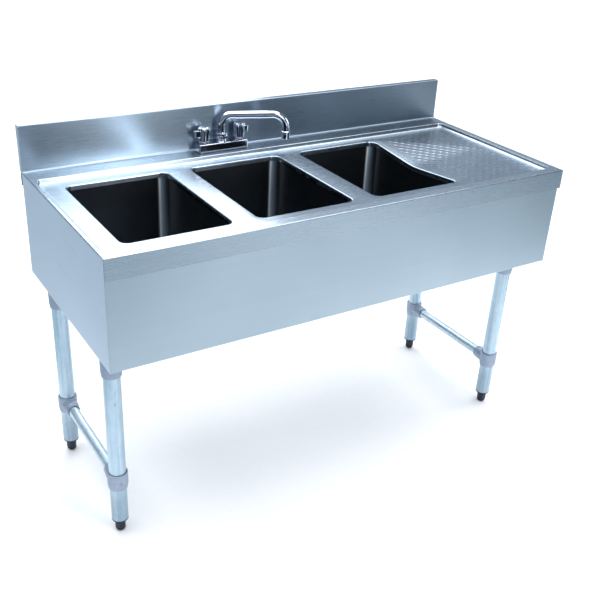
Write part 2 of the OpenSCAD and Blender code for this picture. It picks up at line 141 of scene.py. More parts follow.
def outline(low, high, radius, inset, corner_steps=8, side_steps=1):
    """Closed outline of a rounded rectangle, drawn inwards by inset, with a fixed point count."""
    r = max(radius - inset, 0.01)
    x0, x1, y0, y1 = low.x + inset + r, high.x - inset - r, low.y + inset + r, high.y - inset - r
    points = []
    corners = [((x1, y0), -90), ((x1, y1), 0), ((x0, y1), 90), ((x0, y0), 180)]
    for k, (centre, start) in enumerate(corners):
        turn = arc(centre, r, start, start + 90, corner_steps)
        points += turn
        nxt_centre, nxt_start = corners[(k + 1) % 4]
        begin = Vector(turn[-1])
        finish = Vector(arc(nxt_centre, r, nxt_start, nxt_start, 1)[0])
        points += [tuple(begin.lerp(finish, j / side_steps)) for j in range(1, side_steps)]
    return points


class Shape:
    """Vertices and faces collected in millimetres."""

    def __init__(self):
        self.verts = []
        self.faces = []

    def ring(self, points):
        start = len(self.verts)
        self.verts += [tuple(p) for p in points]
        return list(range(start, len(self.verts)))

    def bridge(self, a, b, closed=True, keep=None):
        """Quads between two rings of the same length; keep(i) may leave some out."""
        count = len(a) if closed else len(a) - 1
        for i in range(count):
            j = (i + 1) % len(a)
            if keep is None or keep(i):
                self.faces.append((a[i], a[j], b[j], b[i]))

    def loft(self, rings, closed=True, keep=None):
        made = [self.ring(points) for points in rings]
        for a, b in zip(made, made[1:]):
            self.bridge(a, b, closed, keep)
        return made

    def cap(self, ring, flip=False):
        self.faces.append(tuple(reversed(ring)) if flip else tuple(ring))

    def fill(self, outer, holes, inside, height, in_hole):
        """Triangles between an outer outline and its holes, with extra points inside."""
        points, edges = [], []
        for loop in [outer] + holes:
            start = len(points)
            points += [Vector(p[:2]) for p in loop]
            count = len(loop)
            edges += [(start + k, start + (k + 1) % count) for k in range(count)]
        points += [Vector(p) for p in inside]
        flat, _, triangles, *_ = delaunay_2d_cdt(points, edges, [], 0, 1e-4)
        base = len(self.verts)
        self.verts += [(p.x, p.y, height(p.x, p.y)) for p in flat]
        for triangle in triangles:
            centre = sum((flat[i] for i in triangle), Vector((0, 0))) / 3
            if not in_hole(centre):
                self.faces.append(tuple(base + i for i in triangle))


def solid_loft(rings):
    """Closed shape through rings of points, with both ends capped."""
    shape = Shape()
    made = shape.loft(rings)
    shape.cap(made[0], flip=True)
    shape.cap(made[-1])
    return shape


def polar(centre, radius, turn, z):
    angle = 2 * math.pi * turn
    return (centre[0] + radius * math.cos(angle), centre[1] + radius * math.sin(angle), z)


def six_sided(turn, share):
    """Radius factor that turns a circle into a hexagon of the same width across its flats."""
    angle = (turn * 360 + 30) % 60 - 30
    return 1 + share * (1 / math.cos(math.radians(30 - abs(angle))) - 1) if share else 1


def lathe(profile, steps=48, centre=(0, 0), closed=True):
    """Turns a profile of (radius, z) or (radius, z, hexagon share) about an upright axis.

    A closed profile goes round a bore; an open one has both its ends capped.
    """
    rings = []
    for radius, z, *share in profile:
        hexagon = share[0] if share else 0
        rings.append([polar(centre, radius * six_sided(k / steps, hexagon), k / steps, z)
                      for k in range(steps)])
    if not closed:
        return solid_loft(rings)
    shape = Shape()
    made = shape.loft(rings)
    shape.bridge(made[-1], made[0])
    return shape


def measured(node, up, down):
    """Profile along a CAD node: steps measured up from its bottom, then down from its top."""
    low, high = box_mm(node)
    return ([(radius, low.z + rise, *share) for radius, rise, *share in up]
            + [(radius, high.z - fall, *share) for radius, fall, *share in down])


def rounded_distance(x, y, low, high, radius):
    """Distance to the edge of a rounded rectangle, negative inside it."""
    centre, half = (low + high) / 2, (high - low) / 2
    dx = max(abs(x - centre.x) - half.x + radius, 0)
    dy = max(abs(y - centre.y) - half.y + radius, 0)
    return math.hypot(dx, dy) - radius


def bent_sheet(path, begin, end, place, thick=SHEET):
    """Solid strip of sheet metal: a path in a plane, thickened to its left and pulled along."""
    shape = Shape()
    path = [Vector(p) for p in path]
    inner = []
    for k, point in enumerate(path):
        before = (point - path[k - 1]).normalized() if k else (path[1] - point).normalized()
        after = (path[k + 1] - point).normalized() if k + 1 < len(path) else before
        across = (before + after).normalized()
        normal = Vector((-across.y, across.x))
        inner.append(point + normal * thick / max(normal.dot(Vector((-before.y, before.x))), 0.3))
    section = path + inner[::-1]
    near = shape.ring([place(p, begin) for p in section])
    far = shape.ring([place(p, end) for p in section])
    shape.bridge(near, far)
    last = len(section) - 1
    for k in range(len(path) - 1):
        shape.faces.append((near[k], near[last - k], near[last - k - 1], near[k + 1]))
        shape.faces.append((far[k], far[k + 1], far[last - k - 1], far[last - k]))
    return shape


def along_x(point, x):
    return (x, point.x, point.y)


def along_y(point, y):
    return (point.x, y, point.y)


def merged(*shapes):
    whole = Shape()
    for shape in shapes:
        start = len(whole.verts)
        whole.verts += shape.verts
        whole.faces += [tuple(start + i for i in face) for face in shape.faces]
    return whole


def tube_along(path, radius, steps=32):
    """Closed tube round a path of 3-D points that lies in one upright plane."""
    side = (path[-1] - path[0]).cross(Vector((0, 0, 1))).normalized()
    rings = []
    for k, point in enumerate(path):
        ahead = (path[min(k + 1, len(path) - 1)] - path[max(k - 1, 0)]).normalized()
        up = side.cross(ahead)
        turns = [2 * math.pi * j / steps for j in range(steps)]
        rings.append([point + (side * math.cos(a) + up * math.sin(a)) * radius for a in turns])
    return solid_loft(rings)


# -------- pieces

def final_mesh(obj):
    """Turns an object's modifiers into plain mesh."""
    bpy.context.view_layer.update()
    graph = bpy.context.evaluated_depsgraph_get()
    mesh = bpy.data.meshes.new_from_object(obj.evaluated_get(graph))
    obj.modifiers.clear()
    obj.data = mesh


def shade(obj, angle=32):
    """Smooth shading that keeps the flat faces flat up to their rounded edges."""
    obj.data.shade_smooth()
    obj.data.set_sharp_from_angle(angle=math.radians(angle))
    normals = obj.modifiers.new("normals", "WEIGHTED_NORMAL")
    normals.mode = "FACE_AREA"
    normals.weight = 90
    normals.keep_sharp = True
    final_mesh(obj)


def link_new(name, data):
    obj = bpy.data.objects.new(name, data)
    bpy.context.collection.objects.link(obj)
    return obj


def add_object(name, shape, weld=0.02):
    """Object from a shape: welded, with its normals pointing out."""
    mesh = bpy.data.meshes.new(name)
    mesh.from_pydata([Vector(v) * MM for v in shape.verts], [], shape.faces)
    work = bmesh.new()
    work.from_mesh(mesh)
    bmesh.ops.remove_doubles(work, verts=work.verts, dist=weld * MM)
    bmesh.ops.recalc_face_normals(work, faces=work.faces)
    work.to_mesh(mesh)
    work.free()
    return link_new(name, mesh)


def thicken(obj):
    """Gives a surface the thickness of the sheet, behind its face, left as a modifier."""
    solid = obj.modifiers.new("thickness", "SOLIDIFY")
    solid.thickness = SHEET * MM
    solid.offset = -1
    return solid


def round_edges(obj, width, angle=35):
    """Small rounding along the sharp edges, left as a modifier."""
    bevel = obj.modifiers.new("edges", "BEVEL")
    bevel.width = width * MM
    bevel.segments = 2
    bevel.limit_method = "ANGLE"
    bevel.angle_limit = math.radians(angle)


def finish_piece(obj, slot, node, body="sink", material=None, angle=32):
    """Material, smooth shading and the ties to the CAD model."""
    shade(obj, angle)
    obj.data.materials.clear()
    obj.data.materials.append(material or LOOKS[slot])
    tie(obj, node, body)


def tie(obj, node, body):
    """Hides the CAD node that a piece stands for, and ties the piece to its body."""
    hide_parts(node)
    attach(obj, body)


def bent_piece(name, node, path, begin, end, place, thick=SHEET, slot="panel_steel", material=None):
    """Piece of bent sheet that stands for a CAD node."""
    obj = add_object(name, bent_sheet(path, begin, end, place, thick))
    round_edges(obj, 0.3)
    final_mesh(obj)
    finish_piece(obj, slot, node, material=material)


def add_piece(name, node, shape, slot, weld=0.02, **finish):
    """Piece from a shape, standing for a CAD node."""
    finish_piece(add_object(name, shape, weld), slot, node, **finish)


def turned_piece(name, node, profile, slot, steps=48, closed=True, weld=0.02, **finish):
    """Piece turned about the middle of the CAD node that it stands for."""
    add_piece(name, node, lathe(profile, steps, middle(node), closed), slot, weld, **finish)


# -------- materials

def add_node(tree, kind, values=None, **settings):
    node = tree.nodes.new(kind)
    for key, value in settings.items():
        setattr(node, key, value)
    for key, value in (values or {}).items():
        if hasattr(value, "is_linked"):
            tree.links.new(value, node.inputs[key])
        else:
            node.inputs[key].default_value = value
    return node


class Look:
    """A material with one principled shader and a few ready steps for its patterns."""

    def __init__(self, name, **shader):
        self.material = bpy.data.materials.new(name)
        self.material.use_nodes = True
        self.tree = self.material.node_tree
        self.shader = self.tree.nodes["Principled BSDF"]
        for key, value in shader.items():
            self.shader.inputs[key.replace("_", " ").title()].default_value = value
        self.place = add_node(self.tree, "ShaderNodeTexCoord").outputs["Object"]
        self.normal = None

    def mapped(self, scale):
        values = {"Vector": self.place, "Scale": scale}
        return add_node(self.tree, "ShaderNodeMapping", values).outputs["Vector"]

    def noise(self, scale=(1, 1, 1), detail=3, roughness=0.5, size=1.0, distortion=0.0):
        values = {"Vector": self.mapped(scale), "Scale": size, "Detail": detail,
                  "Roughness": roughness, "Distortion": distortion}
        return add_node(self.tree, "ShaderNodeTexNoise", values).outputs["Fac"]

    def cell_tone(self, scale, size):
        """One random tone for each crystal-like cell."""
        values = {"Vector": self.mapped(scale), "Scale": size}
        cells = add_node(self.tree, "ShaderNodeTexVoronoi", values, feature="F1").outputs["Color"]
        return add_node(self.tree, "ShaderNodeSeparateColor", {"Color": cells}).outputs[0]

    def span(self, value, low, high, to_low, to_high):
        """Maps a value from one range to another, held at the ends."""
        values = {"Value": value, "From Min": low, "From Max": high, "To Min": to_low, "To Max": to_high}
        return add_node(self.tree, "ShaderNodeMapRange", values).outputs["Result"]

    def combine(self, operation, a, b):
        return add_node(self.tree, "ShaderNodeMath", {0: a, 1: b}, operation=operation).outputs[0]

    def product(self, a, b):
        return self.combine("MULTIPLY", a, b)

    def layers(self, *parts):
        """Adds up spans, each given as what span() takes."""
        total = self.span(*parts[0])
        for part in parts[1:]:
            total = self.combine("ADD", total, self.span(*part))
        return total

    def between(self, value, rise, fall, top=1.0):
        """Rises from 0 to top over one range of a value and falls back over another."""
        return self.product(self.span(value, *rise, 0.0, top), self.span(value, *fall, 1.0, 0.0))

    def axes(self, vector):
        return add_node(self.tree, "ShaderNodeSeparateXYZ", {"Vector": vector}).outputs

    def mix(self, factor, a, b):
        node = add_node(self.tree, "ShaderNodeMix", data_type="RGBA", blend_type="MIX")
        for index, value in ((0, factor), (6, a), (7, b)):
            if hasattr(value, "is_linked"):
                self.tree.links.new(value, node.inputs[index])
            else:
                node.inputs[index].default_value = value
        return node.outputs[2]

    def bump(self, height, strength, distance):
        values = {"Height": height, "Strength": strength, "Distance": distance}
        if self.normal is not None:
            values["Normal"] = self.normal
        self.normal = add_node(self.tree, "ShaderNodeBump", values).outputs["Normal"]

    def surface_normal(self):
        return add_node(self.tree, "ShaderNodeNewGeometry").outputs["Normal"]

    def stretch_across(self, grain):
        """Draws highlights out across the grain, as brushed sheet does."""
        direction = {"x": (1, 0, 0), "y": (0, 1, 0), "z": (0, 0, 1)}[grain]
        tangent = add_node(self.tree, "ShaderNodeVectorMath", {0: self.surface_normal(), 1: direction},
                           operation="CROSS_PRODUCT").outputs[0]
        self.tree.links.new(tangent, self.shader.inputs["Tangent"])

    def done(self, colour, roughness):
        self.tree.links.new(colour, self.shader.inputs["Base Color"])
        self.tree.links.new(roughness, self.shader.inputs["Roughness"])
        if self.normal is not None:
            self.tree.links.new(self.normal, self.shader.inputs["Normal"])
        return self.material


def rgb(r, g, b):
    return (r, g, b, 1)


def along(axis, long, fine):
    """Noise scale that is long along one axis and fine across it."""
    return tuple(long if name == axis else fine for name in "xyz")


# painted light and shade on the brushed top sheet: places in metres where its tone changes, and how much
BOARD_SHADE_X, BOARD_SHADE_Y, BOARD_SHADE_SHARE = (-0.05, 0.32), (0.0, 0.16), 0.42
RIM_Z, EDGE_FRONT, EDGE_RIGHT, EDGE_HIGHLIGHT_SHARE = (0.7255, 0.7275), (-0.242, -0.236), (0.585, 0.592), 0.4
APRON_SHADE_Y, APRON_SHADE_SHARE = (-0.2655, -0.2635), 0.24


def paint_light_and_shade(look, colour):
    """Painted shade towards the back of the drainboard, painted highlights on two rim edges, painted shade on
    the apron.

    These tones were chosen to match the photograph's. They are painted light and shade, not wear.
    """
    place = look.axes(look.place)
    # painted shade: a darker tone towards the back of the drainboard, by the splash
    board_shade = look.product(look.span(place["X"], *BOARD_SHADE_X, 0.0, BOARD_SHADE_SHARE),
                        look.span(place["Y"], *BOARD_SHADE_Y, 0.0, 1.0))
    colour = look.mix(board_shade, colour, rgb(0.06, 0.07, 0.08))
    edges = look.combine("MAXIMUM", look.span(place["Y"], *EDGE_FRONT, 1.0, 0.0),
                         look.span(place["X"], *EDGE_RIGHT, 0.0, 1.0))
    # painted highlight: a paler tone along the front and right rim edges
    bright = look.product(edges, look.span(place["Z"], *RIM_Z, 0.0, EDGE_HIGHLIGHT_SHARE))
    colour = look.mix(bright, colour, rgb(0.82, 0.92, 1.0))
    # painted shade: a darker tone on the apron
    apron = look.span(place["Y"], *APRON_SHADE_Y, APRON_SHADE_SHARE, 0.0)
    return look.mix(apron, colour, rgb(0.10, 0.15, 0.19))


def brushed(name, light, dark, rough=0.30, grain="x", anisotropy=0.8, painted_light=False):
    """Number 4 sheet: hairline grain, soft clouds, faint rub marks and a slight waviness."""
    look = Look(name, metallic=1.0, anisotropic=anisotropy)
    hair = look.noise(along(grain, 12, 2200), roughness=0.7)
    streak = look.noise(along(grain, 1.2, 90))
    cloud = look.noise((2.2, 2.2, 2.2), roughness=0.55)
    rub = look.noise(along(grain, 14, 60), detail=5, roughness=0.65, distortion=0.4)
    tone = look.layers((cloud, 0.3, 0.7, 0.0, 0.66), (streak, 0.3, 0.7, 0.0, 0.14),
                       (hair, 0.25, 0.75, 0.0, 0.20))
    colour = look.mix(tone, dark, light)
    # paints light and shade into the top sheet's colour
    if painted_light:
        colour = paint_light_and_shade(look, colour)
    rough_value = look.layers((hair, 0.2, 0.8, rough - 0.03, rough + 0.04), (rub, 0.55, 0.8, 0.0, 0.06))
    look.bump(hair, 0.03, 0.0001)
    look.bump(look.noise((3, 3, 3), detail=1), 0.4, 0.004)
    look.stretch_across(grain)
    return look.done(colour, rough_value)


def satin(name, light, dark, seam, rough=0.30):
    """Bowl sheet: an even satin in the tones given; inside the bowls these are dark, as painted shade.

    Upright corners that face -X carry a painted highlight line with a paler painted sheen band beside it, and
    the curve above the bowl floor is paler, a painted highlight.
    """
    look = Look(name)
    polish = look.noise((500, 500, 160), roughness=0.6)
    cloud = look.noise((6, 6, 6), detail=2)
    tone = look.layers((polish, 0.3, 0.7, 0, 0.3), (cloud, 0.3, 0.7, 0, 0.7))
    facing = look.axes(look.surface_normal())
    side = look.product(facing["X"], -1.0)
    slope = look.combine("ABSOLUTE", facing["Z"], 0.0)
    upright = look.span(slope, 0.03, 0.12, 1.0, 0.0)
    # painted highlights picked out by the surface's facing: a band and a line at upright corners facing -X,
    # and the curve above the floor
    band = look.product(look.between(side, (0.04, 0.10), (0.3, 0.93)), upright)
    line = look.product(look.between(side, (0.01, 0.04), (0.2, 0.28)), upright)
    curve = look.between(slope, (0.15, 0.4), (0.6, 0.9), top=0.5)
    colour = look.mix(look.combine("MAXIMUM", band, curve), look.mix(tone, dark, light), seam)
    colour = look.mix(line, colour, rgb(0.94, 0.98, 1.0))
    metal = look.combine("SUBTRACT", look.span(band, 0, 1, 1.0, 0.8), line)
    look.tree.links.new(metal, look.shader.inputs["Metallic"])
    look.bump(polish, 0.03, 0.0002)
    rough_value = look.combine("ADD", look.span(polish, 0.2, 0.8, rough - 0.03, rough + 0.04),
                               look.product(look.combine("MAXIMUM", band, line), 0.34))
    return look.done(colour, rough_value)


def galvanised(name, light, dark):
    """Zinc-coated tube: faint crystals, drawn streaks, a few dark scuffs, and darker near the floor."""
    look = Look(name, metallic=0.75)
    crystals = look.cell_tone((1, 1, 0.6), 110)
    streak = look.noise((120, 120, 5), detail=4, roughness=0.6)
    cloud = look.noise((14, 14, 6))
    tone = look.layers((streak, 0.38, 0.62, 0, 0.55), (cloud, 0.3, 0.7, 0, 0.25), (crystals, 0, 1, 0, 0.2))
    colour = look.mix(tone, dark, light)
    scuff = look.noise((90, 90, 22), detail=2, roughness=0.4)
    colour = look.mix(look.span(scuff, 0.73, 0.78, 0, 0.55), colour, rgb(0.16, 0.19, 0.25))
    # a darker tone on the lowest part, near the floor
    height = look.axes(look.place)["Z"]
    colour = look.mix(look.span(height, 0.09, 0.15, 0.35, 0.0), colour, rgb(0.10, 0.16, 0.22))
    look.bump(streak, 0.12, 0.0003)
    look.bump(crystals, 0.04, 0.0002)
    return look.done(colour, look.span(cloud, 0.3, 0.7, 0.30, 0.44))


def cast(name, light, dark):
    """Sand-cast alloy: a fine orange-peel skin with a slight mottle."""
    look = Look(name, metallic=0.55)
    skin = look.noise(size=900, roughness=0.6)
    mottle = look.noise(size=120, detail=4, roughness=0.6)
    tone = look.layers((skin, 0.3, 0.7, 0, 0.5), (mottle, 0.3, 0.7, 0, 0.5))
    look.bump(skin, 0.35, 0.0006)
    look.bump(mottle, 0.25, 0.0012)
    return look.done(look.mix(tone, dark, light), look.span(mottle, 0.3, 0.7, 0.46, 0.60))


def chrome(name, light, dark, rough=0.05):
    """Polished plating with faint smudges and a hint of plating ripple."""
    look = Look(name, metallic=1.0)
    smudge = look.noise(size=70, detail=4, roughness=0.6, distortion=0.8)
    look.bump(look.noise(size=160, detail=1), 0.05, 0.0005)
    colour = look.mix(look.span(smudge, 0.35, 0.7, 0, 1), light, dark)
    return look.done(colour, look.span(smudge, 0.4, 0.75, rough, rough + 0.10))


def moulded(name, light, dark, rough=0.42, grain_size=700):
    """Moulded plastic or rubber: a fine grain with scuffed high spots."""
    look = Look(name, metallic=0.0)
    scuff = look.noise(size=150, detail=4, roughness=0.7)
    colour = look.mix(look.span(scuff, 0.5, 0.75, 0, 1), dark, light)
    look.bump(look.noise(size=grain_size, detail=2), 0.25, 0.0004)
    return look.done(colour, look.span(scuff, 0.3, 0.7, rough, rough + 0.16))


# each material slot: its kind, its light and dark tones, and its own values. The stainless slots are one
# steel; their tones are set apart as painted light and shade.
SLOTS = {
    "top_steel": (brushed, (0.57, 0.66, 0.75), (0.47, 0.56, 0.65),
                  {"rough": 0.26, "anisotropy": 0.7, "painted_light": True}),
    # bowl_steel: dark tones inside the bowls are painted shade; bowl_steel_outside is the same sheet in
    # lighter tones
    "bowl_steel": (satin, (0.17, 0.19, 0.21), (0.12, 0.13, 0.15), {"seam": rgb(0.66, 0.78, 0.90)}),
    # splash_steel: darker tones than the top, painted shade
    "splash_steel": (brushed, (0.40, 0.48, 0.56), (0.33, 0.41, 0.49), {"rough": 0.28}),
    # panel_steel: darker tones than the top, painted shade
    "panel_steel": (brushed, (0.48, 0.58, 0.65), (0.40, 0.49, 0.56), {}),
    "galvanised_steel": (galvanised, (0.60, 0.73, 0.82), (0.34, 0.49, 0.61), {}),
    "cast_alloy": (cast, (0.46, 0.53, 0.64), (0.28, 0.35, 0.46), {}),
    "chrome_plate": (chrome, (0.82, 0.86, 0.94), (0.70, 0.74, 0.84), {}),
    "zinc_steel": (chrome, (0.52, 0.54, 0.60), (0.36, 0.38, 0.46), {"rough": 0.3}),
    "black_plastic": (moulded, (0.020, 0.032, 0.070), (0.006, 0.011, 0.030), {}),
    "black_rubber": (moulded, (0.030, 0.030, 0.032), (0.012, 0.012, 0.013),
                     {"rough": 0.62, "grain_size": 420}),
}
LOOKS = {slot: kind(slot, rgb(*light), rgb(*dark), **own) for slot, (kind, light, dark, own) in SLOTS.items()}
# end panels: grain along Y, and a lighter, bluer copy of panel_steel's tones, painted light
PANEL_SIDE = brushed("panel_steel_side", rgb(0.50, 0.60, 0.72), rgb(0.42, 0.52, 0.64), rough=0.32, grain="y")
BOWL_OUTSIDE = satin("bowl_steel_outside", rgb(0.56, 0.62, 0.68), rgb(0.42, 0.48, 0.54),
                     rgb(0.6, 0.66, 0.72), rough=0.36)


# -------- the pressed top

def smooth_step(value, low, high):
    t = min(max((value - low) / (high - low), 0), 1)
    return t * t * (3 - 2 * t)


def bowl_opening(node):
    """Rectangle and radius of the opening in the deck over a bowl."""
    low, high = box_mm(node)
    inset = SHEET + LIP_OVER
    return (Vector((low.x + inset, low.y + inset)), Vector((high.x - inset, high.y - inset)),
            BOWL_R - LIP_OVER)


OPENINGS = [bowl_opening(node) for node in BOWLS]
OPEN_RIGHT = OPENINGS[2][1].x
OPEN_MID = (OPENINGS[2][0].y + OPENINGS[2][1].y) / 2
OPEN_HALF = (OPENINGS[2][1].y - OPENINGS[2][0].y) / 2


# the deck rolls down a little round each opening
ROLL_DROP, ROLL_REACH = 0.9, 22


def pour_drop(x, y):
    """Fall of the drainboard below the deck: a soft crease that deepens to the right bowl."""
    if x < OPEN_RIGHT - BOWL_R:
        return 0
    along_board = max((x - OPEN_RIGHT) / (CREASE_END - OPEN_RIGHT), 0)
    across = math.sqrt(((y - OPEN_MID) / OPEN_HALF) ** 2 + 0.10 ** 2)
    raw = 1.06 - along_board - across
    return POUR_DROP * (raw + math.sqrt(raw * raw + 0.05 ** 2)) / 2


BOARD_LOW = Vector((OPEN_RIGHT + 30, RECESS[0].y + 26))
BOARD_HIGH = Vector((CREASE_END - 2, RECESS[1].y - 24))
# low domes: spacing along and across the rows, height, radius, and how much longer than wide
DIMPLE_X, DIMPLE_Y, DIMPLE_H, DIMPLE_R, DIMPLE_LONG = 24, 13, 0.9, 5.0, 2.2


def embossing(x, y):
    """Height of the low domes, in staggered rows over the drainboard."""
    row = round((y - BOARD_LOW.y) / DIMPLE_Y)
    shift = DIMPLE_X / 2 * (row % 2)
    column = round((x - BOARD_LOW.x - shift) / DIMPLE_X)
    dx = x - BOARD_LOW.x - shift - column * DIMPLE_X
    dy = y - BOARD_LOW.y - row * DIMPLE_Y
    edge = min(x - BOARD_LOW.x, BOARD_HIGH.x - x, y - BOARD_LOW.y, BOARD_HIGH.y - y)
    dome = math.exp(-(dx * dx / DIMPLE_LONG + dy * dy) / (DIMPLE_R * DIMPLE_R / 2))
    return DIMPLE_H * dome * smooth_step(edge, -6, 8)


def opening_distance(x, y):
    """Distance to the edge of the nearest bowl opening."""
    return min(rounded_distance(x, y, *opening) for opening in OPENINGS)


def deck_height(x, y):
    roll = ROLL_DROP * (1 - smooth_step(opening_distance(x, y), 0, ROLL_REACH))
    return DECK - roll - pour_drop(x, y) + embossing(x, y)


# steps of the cove: how far in, how far in on the right side, and how far down
COVE = [(0, -16, 0), (0.9, -10, 0.15), (1.8, -3, 0.65), (2.5, 0, 1.5), (3.3, 0.7, 3.2), (4.2, 1.5, 5.2),
        (5.4, 3, 7.2), (6.9, 6.5, 8.9), (8.8, 12, 10.0), (11.0, 19, 10.7), (13.5, 26, 11.0)]
RIM_DROP = RIM - DECK
# spacing of the points inside the deck, on the flat and on the drainboard
FLAT_STEP, BOARD_STEP = 13, 2.6


def cove_rings():
    """Outlines from the rim down the coved side of the recess, wider on the right, to the deck."""
    rings = []
    for inset, right_inset, drop in COVE:
        high = RECESS[1] - Vector((right_inset - inset, 0))
        rings.append([(x, y, RIM - drop * RIM_DROP / COVE[-1][2]) for x, y in
                      outline(RECESS[0], high, RECESS_R, inset)])
    return rings


def lip_rings(opening):
    """Outlines from the deck over the rounded edge and down into the bowl."""
    steps = quarter(LIP_ROUND, 6) + [(0, LIP_H * 0.7), (0, LIP_H)]
    return [[(x, y, deck_height(x, y) - fall) for x, y in outline(*opening, -outset, 10, 40)]
            for outset, fall in steps]


def deck_points():
    """Points inside the deck: wide apart on the flat, close together on the drainboard."""
    points = []
    low, high = RECESS[0] + Vector((20, 20)), RECESS[1] - Vector((27, 20))
    board = OPEN_RIGHT + 12
    for step, begin, end in ((FLAT_STEP, low.x, board), (BOARD_STEP, board, high.x)):
        columns = int((end - begin) / step)
        rows = int((high.y - low.y) / step)
        for i in range(columns + 1):
            for j in range(rows + 1):
                x = begin + i * step
                y = low.y + j * step
                if opening_distance(x, y) > LIP_ROUND + 2:
                    points.append((x, y))
    return points


SIDE_FOLD = 2.6     # the left side is folded down only this far, over its end panel


def edge_bottom(x):
    """The apron hangs along the front and the right."""
    return RIM - (APRON if x > LEFT + 0.6 else SIDE_FOLD)


def over_opening(point):
    return opening_distance(point.x, point.y) < LIP_ROUND - 0.05


def over_recess(point):
    high = RECESS[1] - Vector((COVE[0][1], 0))
    return rounded_distance(point.x, point.y, RECESS[0], high, RECESS_R) < 0


def build_top():
    top = Shape()
    back_y = SPLASH_Y - SPLASH_COVE
    low, high = Vector((LEFT, FRONT)), Vector((RIGHT, back_y + OUTER_R))
    edge_rings = [[(x, y, RIM - fall) for x, y in outline(low, high, OUTER_R, inset)]
                  for inset, fall in quarter(OUTER_R, 5)]
    last = outline(low, high, OUTER_R, 0)
    bottom = [(x, y, edge_bottom(x)) for x, y in last]
    is_back = [point[1] > back_y + 0.01 for point in last]
    top.loft(edge_rings + [bottom], keep=lambda i: not (is_back[i] and is_back[(i + 1) % len(is_back)]))

    coves = cove_rings()
    top.loft(coves)
    x0, y0, x1 = low.x + OUTER_R, low.y + OUTER_R, RIGHT - OUTER_R
    rim_outer = [(x0, y0), (x1, y0), (x1, back_y), (x0, back_y)]
    top.fill(rim_outer, [coves[0]], [], lambda x, y: RIM, over_recess)

    lips = [lip_rings(opening) for opening in OPENINGS]
    for rings in lips:
        top.loft(rings)
    top.fill(coves[-1], [rings[0] for rings in lips], deck_points(), deck_height, over_opening)
    obj = add_object("top_pressing", top)
    thicken(obj).use_even_offset = True
    final_mesh(obj)
    finish_piece(obj, "top_steel", "sink_top")


build_top()


# -------- splash and panels

SPLASH_CURVE = arc((SPLASH_Y - SPLASH_COVE, RIM + SPLASH_COVE), SPLASH_COVE, -90, 0, 8)
BACK_HEM = 36


def splash_end(x, high):
    """Flat end of the splash box."""
    back, top = high.y - 0.1, high.z - 0.6
    loop = [(SPLASH_Y - SPLASH_COVE, RIM - 0.4), (back, RIM - 0.4), (back, top), (SPLASH_Y + 0.4, top)]
    loop += SPLASH_CURVE[::-1]
    return solid_loft([[(at, y, z) for y, z in loop] for at in (x, x + SHEET)])


def build_splash():
    low, high = SPLASH_LOW, SPLASH_HIGH
    upper = rounded_path([(SPLASH_Y, RIM + SPLASH_COVE), (SPLASH_Y, high.z), (high.y, high.z),
                          (high.y, high.z - 30)], 2.4)
    path = [(SPLASH_Y - SPLASH_COVE, RIM)] + SPLASH_CURVE[1:] + upper[1:]
    hem_y = TOP_HIGH.y - 0.1
    back_path = rounded_path([(SPLASH_Y - 10, RIM - 2 * SHEET), (hem_y, RIM - 2 * SHEET),
                              (hem_y, RIM - BACK_HEM)], 2.4)
    shapes = [bent_sheet(path, low.x, high.x, along_x, -SHEET),
              bent_sheet(back_path, low.x + SHEET, high.x, along_x, -SHEET)]
    shapes += [splash_end(x, high) for x in (low.x + 0.1, high.x - SHEET - 0.1)]
    obj = add_object("splash", merged(*shapes))
    round_edges(obj, 0.35)
    final_mesh(obj)
    finish_piece(obj, "splash_steel", "backsplash")


def build_panels():
    low, high = box_mm("front_panel")
    path = rounded_path([(low.y, high.z), (low.y, low.z), (high.y, low.z)], 2.2)
    bent_piece("panel_front", "front_panel", path, low.x, high.x, along_x)
    for side, direction in (("left", 1), ("right", -1)):
        node = side + "_end_panel"
        low, high = box_mm(node)
        outer, inner = (low.x, high.x) if direction > 0 else (high.x, low.x)
        path = rounded_path([(outer, high.z), (outer, low.z), (inner, low.z)], 2.0)
        bent_piece("panel_" + side, node, path, low.y, high.y, along_y, SHEET * direction,
                   material=PANEL_SIDE)
    low, high = box_mm("rear_brace")
    path = rounded_path([(high.y, high.z), (high.y, low.z), (low.y, low.z)], 2.2)
    bent_piece("brace_rear", "rear_brace", path, low.x, high.x, along_x, -SHEET)
    for side in ("left", "right"):
        node = "leg_channel_" + side
        low, high = box_mm(node)
        path = rounded_path([(low.x, high.z), (low.x, low.z), (high.x, low.z), (high.x, high.z)], 3.0)
        bent_piece("channel_" + side, node, path, low.y, high.y, along_y, CHANNEL_SHEET, "galvanised_steel")


build_splash()
build_panels()


# -------- bowls and drains

BOTTOM_R = 24
DRAIN_HOLE = 22.3
DRAIN_SINK = 3      # fall of the bowl floor to the drain
WALL_GAP = 0.3      # between the top of the bowl wall and the sheet above it
# shares of the way from the edge of the flat floor to the drain
FLOOR_STEPS = (0.3, 0.6, 0.85, 1.0)


